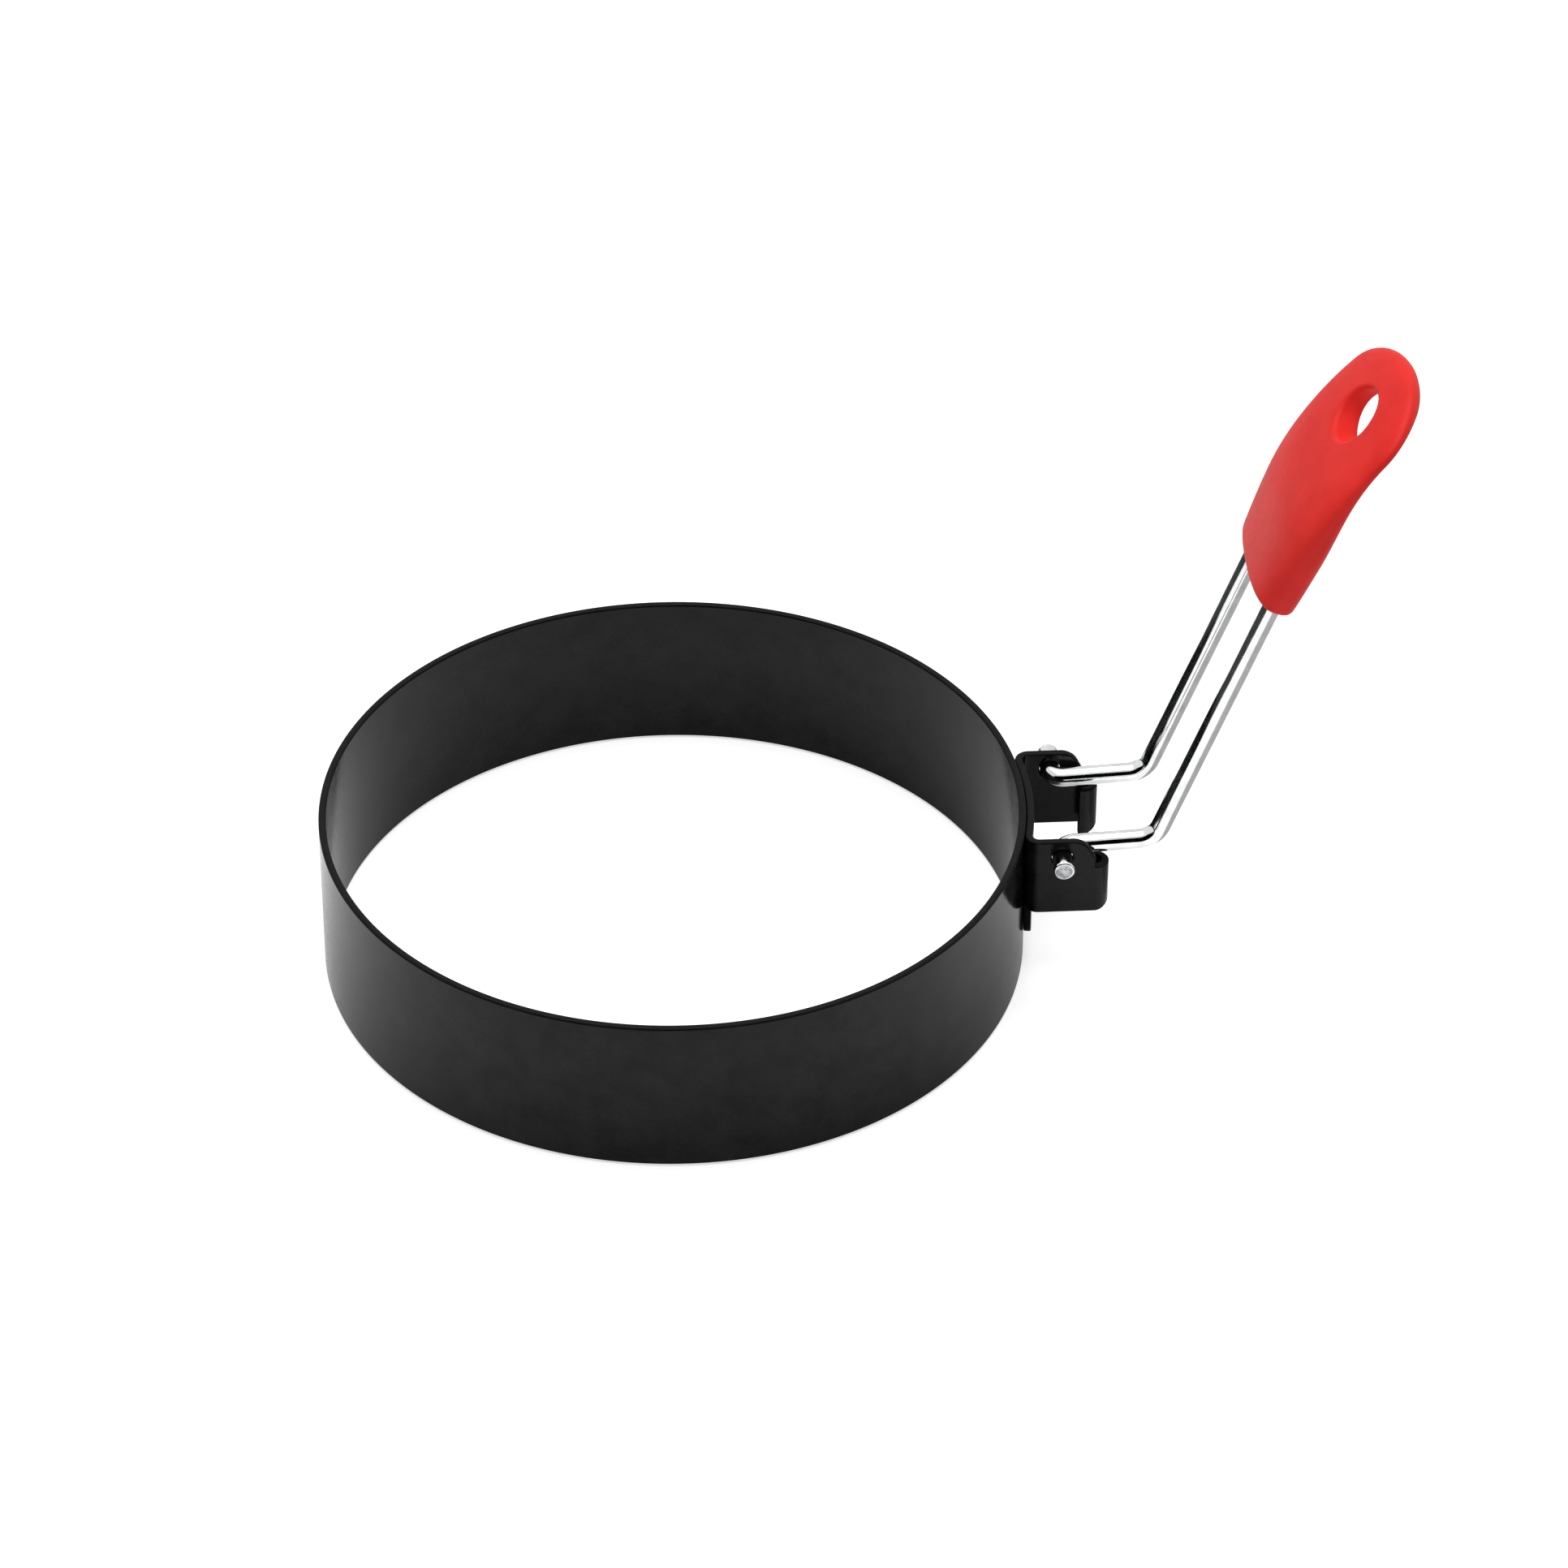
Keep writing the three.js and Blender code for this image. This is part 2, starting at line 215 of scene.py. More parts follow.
def sprayed_coating(name, deep, pale, polish):
    """PTFE non-stick coating, sprayed on steel and baked: near black, with a soft gloss, a fine grit
    and a slow orange peel that break up its reflections, and a cloudier film here and there."""
    # The grit is drawn coarser than it is, so that it shows
    grit_size = 0.55
    grit_height = 0.008
    peel_size = 2.6
    peel_height = 0.02
    film_size = 3.5
    gloss_spread = 0.05
    material, tree = new_material(name)
    place = add(tree, "ShaderNodeTexCoord").outputs["Object"]
    grit = add(tree, "ShaderNodeTexNoise", {
        "Vector": place, "Scale": 1 / (grit_size * MM), "Detail": 3.0,
    })
    peel = add(tree, "ShaderNodeTexNoise", {
        "Vector": place, "Scale": 1 / (peel_size * MM), "Detail": 1.0,
    })
    film = add(tree, "ShaderNodeTexNoise", {
        "Vector": place, "Scale": 1 / (film_size * MM), "Detail": 6.0, "Roughness": 0.7,
    })
    tint = add(tree, "ShaderNodeValToRGB", {"Fac": film.outputs[0]})
    tint.color_ramp.elements[0].position = 0.35
    tint.color_ramp.elements[0].color = linear(deep)
    tint.color_ramp.elements[1].position = 0.68
    tint.color_ramp.elements[1].color = linear(pale)
    gloss = add(tree, "ShaderNodeMapRange", {
        "Value": grit.outputs[0], "From Min": 0.3, "From Max": 0.7,
        "To Min": polish - gloss_spread, "To Max": polish + gloss_spread,
    })
    slow = add(tree, "ShaderNodeBump", {
        "Height": peel.outputs[0], "Strength": 0.35, "Distance": peel_height * MM,
    })
    fine = add(tree, "ShaderNodeBump", {
        "Height": grit.outputs[0], "Strength": 0.5, "Distance": grit_height * MM,
        "Normal": slow.outputs[0],
    })
    shader = add(tree, "ShaderNodeBsdfPrincipled", {
        "Base Color": tint.outputs[0], "Roughness": gloss.outputs[0], "IOR": 1.24,
        "Normal": fine.outputs[0],
    })
    add(tree, "ShaderNodeOutputMaterial", {"Surface": shader.outputs[0]})
    return material


def dull_cut_edge():
    """The sheet's sheared edge, where the coating is thin and dull: near black beside the gloss."""
    burr_size = 0.8
    material, tree = new_material("dull_cut_edge")
    place = add(tree, "ShaderNodeTexCoord").outputs["Object"]
    burr = add(tree, "ShaderNodeTexNoise", {
        "Vector": place, "Scale": 1 / (burr_size * MM), "Detail": 2.0,
    })
    tint = add(tree, "ShaderNodeValToRGB", {"Fac": burr.outputs[0]})
    tint.color_ramp.elements[0].position = 0.3
    tint.color_ramp.elements[0].color = linear("#060606")
    tint.color_ramp.elements[1].position = 0.7
    tint.color_ramp.elements[1].color = linear("#0f0f10")
    shader = add(tree, "ShaderNodeBsdfPrincipled", {
        "Base Color": tint.outputs[0], "Roughness": 0.5, "Specular IOR Level": 0.08,
    })
    add(tree, "ShaderNodeOutputMaterial", {"Surface": shader.outputs[0]})
    return material


def polished_stainless_wire():
    """Stainless steel wire, drawn and then tumbled bright: a mirror with a faint satin cloud and the
    finest lines, which only soften the edges of what it reflects."""
    # The lines are drawn coarser than they are, so that they show
    line_size = 0.35
    line_height = 0.004
    cloud_size = 1.6
    material, tree = new_material("polished_stainless_wire")
    place = add(tree, "ShaderNodeTexCoord").outputs["Object"]
    cloud = add(tree, "ShaderNodeTexNoise", {
        "Vector": place, "Scale": 1 / (cloud_size * MM), "Detail": 3.0,
    })
    lines = add(tree, "ShaderNodeTexNoise", {
        "Vector": place, "Scale": 1 / (line_size * MM), "Detail": 2.0,
    })
    tint = add(tree, "ShaderNodeValToRGB", {"Fac": cloud.outputs[0]})
    tint.color_ramp.elements[0].position = 0.3
    tint.color_ramp.elements[0].color = linear("#cfd0d1")
    tint.color_ramp.elements[1].position = 0.7
    tint.color_ramp.elements[1].color = linear("#e3e4e4")
    gloss = add(tree, "ShaderNodeMapRange", {
        "Value": cloud.outputs[0], "From Min": 0.3, "From Max": 0.7, "To Min": 0.07, "To Max": 0.13,
    })
    bump = add(tree, "ShaderNodeBump", {
        "Height": lines.outputs[0], "Strength": 0.15, "Distance": line_height * MM,
    })
    shader = add(tree, "ShaderNodeBsdfPrincipled", {
        "Base Color": tint.outputs[0], "Metallic": 1.0, "Roughness": gloss.outputs[0],
        "Normal": bump.outputs[0],
    })
    add(tree, "ShaderNodeOutputMaterial", {"Surface": shader.outputs[0]})
    return material


def sheared_wire_end():
    """The wire's sheared ends: dull grey steel, torn to a coarse grain that scatters the light."""
    tear_size = 0.6
    tear_height = 0.05
    material, tree = new_material("sheared_wire_end")
    place = add(tree, "ShaderNodeTexCoord").outputs["Object"]
    tear = add(tree, "ShaderNodeTexNoise", {
        "Vector": place, "Scale": 1 / (tear_size * MM), "Detail": 3.0,
    })
    tint = add(tree, "ShaderNodeValToRGB", {"Fac": tear.outputs[0]})
    tint.color_ramp.elements[0].position = 0.35
    tint.color_ramp.elements[0].color = linear("#6f7071")
    tint.color_ramp.elements[1].position = 0.65
    tint.color_ramp.elements[1].color = linear("#c4c5c6")
    bump = add(tree, "ShaderNodeBump", {
        "Height": tear.outputs[0], "Strength": 0.5, "Distance": tear_height * MM,
    })
    shader = add(tree, "ShaderNodeBsdfPrincipled", {
        "Base Color": tint.outputs[0], "Metallic": 1.0, "Roughness": 0.4, "Normal": bump.outputs[0],
    })
    add(tree, "ShaderNodeOutputMaterial", {"Surface": shader.outputs[0]})
    return material


def moulded_red_silicone():
    """Red silicone rubber, moulded in a blasted tool: an even red with a satin skin, a fine grain from
    the tool and slight clouds in the pigment."""
    # The grain is drawn coarser than it is, so that it shows
    grain_size = 0.4
    grain_height = 0.02
    cloud_size = 5.0
    material, tree = new_material("moulded_red_silicone")
    place = add(tree, "ShaderNodeTexCoord").outputs["Object"]
    grain = add(tree, "ShaderNodeTexNoise", {
        "Vector": place, "Scale": 1 / (grain_size * MM), "Detail": 3.0,
    })
    cloud = add(tree, "ShaderNodeTexNoise", {
        "Vector": place, "Scale": 1 / (cloud_size * MM), "Detail": 2.0,
    })
    tint = add(tree, "ShaderNodeValToRGB", {"Fac": cloud.outputs[0]})
    tint.color_ramp.elements[0].position = 0.3
    tint.color_ramp.elements[0].color = linear("#e92b26")
    tint.color_ramp.elements[1].position = 0.7
    tint.color_ramp.elements[1].color = linear("#f5342e")
    gloss = add(tree, "ShaderNodeMapRange", {
        "Value": grain.outputs[0], "From Min": 0.3, "From Max": 0.7, "To Min": 0.42, "To Max": 0.52,
    })
    bump = add(tree, "ShaderNodeBump", {
        "Height": grain.outputs[0], "Strength": 0.3, "Distance": grain_height * MM,
    })
    shader = add(tree, "ShaderNodeBsdfPrincipled", {
        "Base Color": tint.outputs[0], "Roughness": gloss.outputs[0], "Specular IOR Level": 0.14,
        "Normal": bump.outputs[0],
    })
    add(tree, "ShaderNodeOutputMaterial", {"Surface": shader.outputs[0]})
    return material


def finish_piece(name, bm, body, node, material):
    """Makes a smooth piece in metres from a bmesh in millimetres, and lets it stand for its CAD node."""
    bmesh.ops.scale(bm, vec=(MM, MM, MM), verts=bm.verts)
    mesh = bpy.data.meshes.new(name)
    bm.to_mesh(mesh)
    bm.free()
    mesh.shade_smooth()
    mesh.materials.append(material)
    piece = bpy.data.objects.new(name, mesh)
    bpy.context.scene.collection.objects.link(piece)
    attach(piece, body)
    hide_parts(node)
    return piece


def close_mesh(bm):
    """Merges the seams and turns the faces outwards."""
    bmesh.ops.remove_doubles(bm, verts=bm.verts, dist=MERGE)
    bmesh.ops.dissolve_degenerate(bm, edges=bm.edges, dist=SLIVER)
    bmesh.ops.recalc_face_normals(bm, faces=bm.faces)


def weigh_normals(piece):
    """Keeps wide faces flat in the shading where they meet narrow eased edges."""
    weighted = piece.modifiers.new("flat_faces", "WEIGHTED_NORMAL")
    weighted.weight = 100
    weighted.keep_sharp = True


def join_round(bm, corners):
    """Joins corners by edges to a closed outline."""
    for start, end in zip(corners, corners[1:] + corners[:1]):
        bm.edges.new((start, end))


def round_corners(bm, corners, steps):
    """Rounds corners of a flat outline, each given as a vertex and a radius."""
    for corner, radius in corners:
        bmesh.ops.bevel(
            bm, geom=[corner], offset=radius, offset_type="OFFSET", segments=steps, profile=0.5,
            affect="VERTICES", material=-1,
        )


def draw_on(bm, loop, step):
    """Draws an open end straight on, and gives its new end."""
    made = bmesh.ops.extrude_edge_only(bm, edges=loop)["geom"]
    ends = [part for part in made if isinstance(part, bmesh.types.BMVert)]
    bmesh.ops.translate(bm, vec=step, verts=ends)
    edges = [part for part in made if isinstance(part, bmesh.types.BMEdge)]
    return [edge for edge in edges if all(vert in ends for vert in edge.verts)]


def turn_on(bm, loop, centre, axis, angle):
    """Bends an open end on round a centre, and gives its new end."""
    steps = max(TURN_STEPS_LEAST, round(math.degrees(angle) / TURN_STEP))
    made = bmesh.ops.spin(bm, geom=loop, cent=centre, axis=axis, angle=angle, steps=steps)["geom_last"]
    return [part for part in made if isinstance(part, bmesh.types.BMEdge)]


def coated_band():
    """The strip's section with its edges eased, turned about the ring's axis."""
    bm = bmesh.new()
    inside = RING_RADIUS - RING_WALL
    section = [(inside, 0), (RING_RADIUS, 0), (RING_RADIUS, RING_HEIGHT), (inside, RING_HEIGHT)]
    corners = [bm.verts.new((RING_X + r, 0, z)) for r, z in section]
    join_round(bm, corners)
    round_corners(bm, [(corner, RIM_EASE) for corner in corners], RIM_EASE_STEPS)
    bmesh.ops.spin(
        bm, geom=bm.verts[:] + bm.edges[:], cent=(RING_X, 0, 0), axis=(0, 0, 1), angle=2 * math.pi,
        steps=RING_STEPS, use_merge=True,
    )
    close_mesh(bm)
    for face in bm.faces:
        height = face.calc_center_median().z
        if min(height, RING_HEIGHT - height) < RIM_EASE:
            face.material_index = 1
    coating = sprayed_coating("sprayed_nonstick_band", "#020203", "#1d1d1e", 0.15)
    band = finish_piece("coated_band", bm, "ring", "ring_band", coating)
    band.data.materials.append(dull_cut_edge())
    weigh_normals(band)


def channel_runs():
    """Lengths along the sheet's middle line, from the plate's middle to the ear, and its bends."""
    plate_middle = RING_RADIUS + PLATE_GAP + SHEET / 2
    bend_y = EAR_MIDDLE - BEND_MIDDLE
    bend_x = math.sqrt((plate_middle + BEND_MIDDLE) ** 2 - bend_y ** 2)
    lip_x = EAR_END - SHEET / 2 - BEND_MIDDLE
    turn = math.atan2(bend_y, bend_x)
    plate = plate_middle * turn
    ear_start = plate + BEND_MIDDLE * (math.pi / 2 + turn)
    return {
        "plate_middle": plate_middle, "turn": turn, "bend": (bend_x, bend_y), "lip_x": lip_x,
        "plate": plate, "ear_start": ear_start, "ear_end": ear_start + lip_x - bend_x,
    }


def pin_hole(bm, run):
    """Draws a pin hole with a margin of faces round it, and gives the margin's outer edges."""
    margin_radius = PIN_HOLE + PIN_HOLE_MARGIN
    place = Matrix.Translation((run, 0, PIVOT.z)) @ Matrix.Rotation(math.pi / 2, 4, "X")
    margin = bmesh.ops.create_circle(
        bm, cap_ends=False, segments=PIN_HOLE_SIDES, radius=margin_radius, matrix=place,
    )["verts"]
    margin_edges = list({edge for vert in margin for edge in vert.link_edges})
    hole = draw_on(bm, margin_edges, (0, 0, 0))
    shrink = PIN_HOLE / margin_radius
    hole_verts = list({vert for edge in hole for vert in edge.verts})
    bmesh.ops.scale(bm, vec=(shrink, shrink, shrink), space=place.inverted(), verts=hole_verts)
    return margin_edges


def draw_blank(bm, runs):
    """Draws the flat blank, whose X is the length along the sheet, with rounded corners and pin holes."""
    ear_end = runs["ear_end"]
    ear_side = ear_end + EAR_END - LIP_STEP - runs["lip_x"]
    ear_corner = ear_side - EAR_TAPER
    slope_end = EAR_TOP - (EAR_TOP - LIP_TOP) * (ear_end - ear_corner) / EAR_TAPER
    plate_side = runs["plate"] - PLATE_INSET
    half = [
        (ear_corner, EAR_TOP, EAR_TOP_ROUND),
        (ear_end, slope_end, 0),
        (ear_end, LIP_TOP, 0),
        (ear_end, EAR_FOOT, 0),
        (plate_side, EAR_FOOT, PLATE_NOTCH_ROUND),
        (plate_side, PLATE_FOOT, PLATE_FOOT_ROUND),
    ]
    outline = half + [(-run, z, radius) for run, z, radius in reversed(half)]
    corners = [(bm.verts.new((run, 0, z)), radius) for run, z, radius in outline]
    join_round(bm, [corner for corner, _ in corners])
    round_corners(bm, [corner for corner in corners if corner[1]], CORNER_STEPS)
    rims = bm.edges[:]
    pin_run = runs["ear_start"] + PIVOT.x - RING_X - runs["bend"][0]
    for side in (-1, 1):
        rims += pin_hole(bm, side * pin_run)
    bmesh.ops.triangle_fill(bm, edges=rims, use_beauty=True, normal=(0, -1, 0))


def crease_blank(bm, runs):
    """Cuts the blank across wherever it bends."""
    bend = runs["ear_start"] - runs["plate"]
    creases = [runs["plate"] * i / PLATE_CREASES for i in range(PLATE_CREASES + 1)]
    creases += [runs["plate"] + bend * i / BEND_CREASES for i in range(1, BEND_CREASES + 1)]
    for run in sorted({side * crease for crease in creases for side in (-1, 1)}):
        geom = bm.verts[:] + bm.edges[:] + bm.faces[:]
        bmesh.ops.bisect_plane(bm, geom=geom, dist=TOUCH, plane_co=(run, 0, 0), plane_no=(1, 0, 0))


def clear_strips(bm, runs):
    """Leaves one face between neighbouring creases, so that no sliver twists the sheet where it bends."""
    bends_end = runs["ear_start"] + TOUCH
    slanting = [
        edge for edge in bm.edges
        if len(edge.link_faces) == 2
        and all(abs(vert.co.x) < bends_end for vert in edge.verts)
        and abs(edge.verts[0].co.x - edge.verts[1].co.x) > TOUCH
    ]
    bmesh.ops.dissolve_edges(bm, edges=slanting, use_verts=False, use_face_split=False)
    spare = [vert for vert in bm.verts if len(vert.link_edges) == 2 and not vert.is_boundary]
    bmesh.ops.dissolve_verts(bm, verts=spare)


def bend_blank(bm, runs):
    """Bends the flat blank round the plate and the ears."""
    bend_x, bend_y = runs["bend"]
    for vert in bm.verts:
        run = abs(vert.co.x)
        if run < runs["plate"]:
            angle = run / runs["plate_middle"]
            x = runs["plate_middle"] * math.cos(angle)
            y = runs["plate_middle"] * math.sin(angle)
        elif run < runs["ear_start"]:
            angle = math.pi + runs["turn"] - (run - runs["plate"]) / BEND_MIDDLE
            x = bend_x + BEND_MIDDLE * math.cos(angle)
            y = bend_y + BEND_MIDDLE * math.sin(angle)
        else:
            x = bend_x + run - runs["ear_start"]
            y = EAR_MIDDLE
        vert.co = (RING_X + x, math.copysign(y, vert.co.x), vert.co.z)


def roll_lip(bm, runs, side):
    """Rolls the lower part of an ear's end inwards to a lip, with its foot rounded off."""
    lip_x = RING_X + runs["lip_x"]

    def at_end(vert):
        on_side = abs(vert.co.x - lip_x) < TOUCH and vert.co.y * side > 0
        return on_side and vert.co.z < LIP_TOP + TOUCH

    end = [edge for edge in bm.edges if all(at_end(vert) for vert in edge.verts)]
    end = turn_on(bm, end, (lip_x, side * runs["bend"][1], 0), (0, 0, -side), math.pi)
    draw_on(bm, end, (-LIP_RETURN, 0, 0))
    for vert in bm.verts:
        if vert.co.x > lip_x and vert.co.y * side > 0 and vert.co.z < EAR_FOOT + TOUCH:
            vert.co.z += LIP_FOOT_RISE * ((vert.co.x - lip_x) / BEND_MIDDLE) ** 2


def thicken_sheet(piece):
    """Gives a sheet its thickness and eases its edges, which take the second material."""
    sheet = piece.modifiers.new("sheet", "SOLIDIFY")
    sheet.thickness = SHEET * MM
    sheet.offset = 0
    sheet.use_even_offset = True
    sheet.material_offset_rim = 1
    ease = piece.modifiers.new("eased_edges", "BEVEL")
    ease.width = SHEET_EASE * MM
    ease.segments = SHEET_EASE_STEPS
    ease.material = 1
    ease.limit_method = "ANGLE"
    ease.angle_limit = SHEET_EASE_ANGLE
    ease.use_clamp_overlap = False


def pressed_bracket():
    """The flat blank, bent to a channel with rolled lips and given its thickness."""
    bm = bmesh.new()
    runs = channel_runs()
    draw_blank(bm, runs)
    crease_blank(bm, runs)
    clear_strips(bm, runs)
    bend_blank(bm, runs)
    for side in (-1, 1):
        roll_lip(bm, runs, side)
    close_mesh(bm)
    coating = sprayed_coating("sprayed_nonstick_bracket", "#050506", "#1a1a1b", 0.2)
    bracket = finish_piece("pressed_bracket", bm, "ring", "handle_bracket", coating)
    bracket.data.materials.append(bpy.data.materials["dull_cut_edge"])
    thicken_sheet(bracket)
    weigh_normals(bracket)


def polished_wire():
    """Half of the hairpin from its pin to the middle of its loop, mirrored across the XZ plane."""
    bm = bmesh.new()
    along = Vector((math.cos(ARM_BEND), 0, math.sin(ARM_BEND)))
    bend_length = LEG_BEND * math.tan(ARM_BEND / 2)
    pin_root = LEG_Y + PIN_BEND
    bend_start = LEG_LENGTH - bend_length
    start = Matrix.Translation((0, PIN_TIP, 0)) @ Matrix.Rotation(math.pi / 2, 4, "X")
    bmesh.ops.create_circle(
        bm, cap_ends=True, segments=WIRE_SIDES, radius=PIN_HEAD_RADIUS, matrix=start,
    )
    tip = bm.edges[:]
    loop = draw_on(bm, tip, (0, -PIN_HEAD_LENGTH, 0))
    slim = WIRE_RADIUS / PIN_HEAD_RADIUS
    head_root = list({vert for edge in loop for vert in edge.verts})
    bmesh.ops.scale(bm, vec=(slim, 1, slim), verts=head_root)
    loop = draw_on(bm, loop, (0, pin_root - PIN_TIP + PIN_HEAD_LENGTH, 0))
    loop = turn_on(bm, loop, (PIN_BEND, pin_root, 0), (0, 0, 1), math.pi / 2)
    loop = draw_on(bm, loop, (bend_start - PIN_BEND, 0, 0))
    loop = turn_on(bm, loop, (bend_start, LEG_Y, LEG_BEND), (0, -1, 0), ARM_BEND)
    loop = draw_on(bm, loop, along * (ARM_LENGTH + LOOP_START - bend_length))
    loop_centre = Vector((LEG_LENGTH, 0, 0)) + along * (ARM_LENGTH + LOOP_START)
    turn_on(bm, loop, loop_centre, Vector((0, 1, 0)).cross(along), math.pi / 2)
    bmesh.ops.bevel(
        bm, geom=tip, offset=PIN_EASE, offset_type="OFFSET", segments=PIN_EASE_STEPS, profile=0.5,
        affect="EDGES", material=-1,
    )
    half = bm.verts[:] + bm.edges[:] + bm.faces[:]
    bmesh.ops.mirror(bm, geom=half, axis="Y", merge_dist=TOUCH)
    bmesh.ops.transform(bm, matrix=HANDLE_PLACE, verts=bm.verts)
    close_mesh(bm)
    for face in bm.faces:
        if abs(face.calc_center_median().y) > PIN_TIP - TOUCH:
            face.material_index = 1
    steel = polished_stainless_wire()
    wire = finish_piece("polished_wire", bm, "handle", "wire_handle", steel)
    wire.data.materials.append(sheared_wire_end())


def eased(step):
    """A step from 0 to 1 that starts and ends slowly."""
    return (1 - math.cos(math.pi * step)) / 2


def inset(distance, radius):
    """How far a rounded edge pulls a surface in, at a distance from the end that it rounds."""
    if distance >= radius:
        return 0.0
    return radius - math.sqrt(radius ** 2 - (radius - max(0.0, distance)) ** 2)


def grip_half_width(s):
    """Half the grip's width, at a distance from its mouth."""
    head_start = GRIP_LENGTH - HEAD_ROUND
    half = GRIP_HALF_WIDTH - MOUTH_TAPER * max(0.0, 1 - s / GRIP_BELLY) ** 2
    half -= HEAD_TAPER * max(0.0, (s - GRIP_BELLY) / (head_start - GRIP_BELLY)) ** 2
    half -= inset(s, MOUTH_ROUND)
    past = min(1.0, max(0.0, (s - head_start) / HEAD_ROUND))
    return half * math.sqrt(1 - past ** 2)


def grip_half_thickness(s):
    """Half the grip's thickness in its middle, at a distance from its mouth."""
    share = min(1.0, max(0.0, (s - NECK_START) / NECK_LENGTH))
    neck = share * share * (3 - 2 * share)
    thickness = GRIP_THICKNESS + (HEAD_THICKNESS - GRIP_THICKNESS) * neck
    return thickness / 2 - inset(s, MOUTH_ROUND) - inset(GRIP_LENGTH - s, TIP_ROUND)


def grip_rim(turn):
    """A point of the grip's outline in plan, from the middle of its mouth round the head and back."""
    half_turn = 1 - abs(2 * turn - 1)
    if half_turn < MOUTH_SHARE:
        s = 0.0
        y = grip_half_width(0) * half_turn / MOUTH_SHARE
    else:
        s = GRIP_LENGTH * eased((half_turn - MOUTH_SHARE) / (1 - MOUTH_SHARE))
        y = grip_half_width(s)
    return Vector((s, y if turn <= 0.5 else -y))


def grip_height(point, from_hole):
    """Half the grip's thickness at a point in plan, eased towards its sides and the hang hole."""
    half_width = grip_half_width(point.x)
    across = min(1.0, abs(point.y) / half_width) if half_width > NO_WIDTH else 1.0
    side = (1 - across ** GRIP_SQUARENESS) ** (1 / GRIP_SQUARENESS)
    return grip_half_thickness(point.x) * side - inset(from_hole, HOLE_ROUND)


def wrap_row(row, near):
    """Where a row of the grid lies: its share of the way from the hang hole's middle to the rim, and its
    level from -1 underneath to 1 on the face. It runs up the hole, over, down the rim and back."""
    over = row - WALL_ROWS
    down = over - FACE_ROWS
    back = down - WALL_ROWS
    if over <= 0:
        return near, 2 * row / WALL_ROWS - 1
    if down <= 0:
        return near + (1 - near) * eased(over / FACE_ROWS), 1
    if back <= 0:
        return 1, 1 - 2 * down / WALL_ROWS
    return 1 - (1 - near) * eased(back / FACE_ROWS), -1


def moulded_grip():
    """A grid wrapped round the hang hole, which runs straight, and round the swept body."""
    bm = bmesh.new()
    rows = 2 * (WALL_ROWS + FACE_ROWS)
    bmesh.ops.create_grid(bm, x_segments=GRIP_COLUMNS, y_segments=rows, size=0.5)
    hole = Vector((GRIP_LENGTH - HOLE_WALL - HOLE_LENGTH / 2, 0))
    for vert in bm.verts:
        out = grip_rim(vert.co.x + 0.5) - hole
        near = 1 / math.hypot(out.x / (HOLE_LENGTH / 2), out.y / (HOLE_WIDTH / 2))
        share, level = wrap_row(round((vert.co.y + 0.5) * rows), near)
        point = hole + out * share
        rise = level * grip_height(point, out.length * (share - near))
        along = point.x / GRIP_LENGTH
        sweep = GRIP_SWEEP * along ** SWEEP_POWER
        lean = math.atan(SWEEP_POWER * GRIP_SWEEP / GRIP_LENGTH * along ** (SWEEP_POWER - 1))
        past_hole = (share - near) / (1 - near)
        upright = past_hole * math.cos(lean) + (1 - past_hole) / math.cos(lean)
        vert.co = (point.x + past_hole * rise * math.sin(lean), point.y, rise * upright - sweep)
    mouth = (LEG_LENGTH + ARM_LENGTH * math.cos(ARM_BEND), 0, ARM_LENGTH * math.sin(ARM_BEND))
    place = HANDLE_PLACE @ Matrix.Translation(mouth) @ Matrix.Rotation(-ARM_BEND, 4, "Y")
    bmesh.ops.transform(bm, matrix=place, verts=bm.verts)
    close_mesh(bm)
    finish_piece("moulded_grip", bm, "handle", "grip", moulded_red_silicone())


def stage_plane(name, size, place, material):
    """A square stage plane, which faces up until it is placed."""
    bm = bmesh.new()
    bmesh.ops.create_grid(bm, x_segments=1, y_segments=1, size=size / 2, matrix=place)
    mesh = bpy.data.meshes.new(name)
    bm.to_mesh(mesh)
    bm.free()
    mesh.materials.append(material)
    plane = bpy.data.objects.new(name, mesh)
    bpy.context.scene.collection.objects.link(plane)
    return plane


def showing_rays(tree):
    """1 for the rays that show the studio itself: the camera's, reflected ones and those through glass."""
    path = add(tree, "ShaderNodeLightPath")
    seen = add(tree, "ShaderNodeMath", {
        0: path.outputs["Is Camera Ray"], 1: path.outputs["Is Glossy Ray"],
    }, operation="MAXIMUM")
    seen = add(tree, "ShaderNodeMath", {
        0: seen.outputs[0], 1: path.outputs["Is Transmission Ray"],
    }, operation="MAXIMUM")
    return seen.outputs[0]


def studio_floor():
    """A white floor that keeps the object's shadow, lifted to white where it is seen or reflected."""
    material, tree = new_material("matte_white_floor")
    lift = add(tree, "ShaderNodeMath", {0: showing_rays(tree), 1: FLOOR_LIFT}, operation="MULTIPLY")
    shader = add(tree, "ShaderNodeBsdfPrincipled", {
        "Base Color": linear("#f4f4f4"), "Roughness": 0.9, "Emission Color": linear("#ffffff"),
        "Emission Strength": lift.outputs[0],
    })
    add(tree, "ShaderNodeOutputMaterial", {"Surface": shader.outputs[0]})
    stage_plane("floor", FLOOR_SIZE, Matrix.Translation((0, 0, -FLOOR_BELOW)), material)


def felt(name, colour):
    """A dull cloth for the screens."""
    material, tree = new_material(name)
    shader = add(tree, "ShaderNodeBsdfPrincipled", {
        "Base Color": linear(colour), "Roughness": 1.0, "Specular IOR Level": 0.0,
    })
    add(tree, "ShaderNodeOutputMaterial", {"Surface": shader.outputs[0]})
    return material


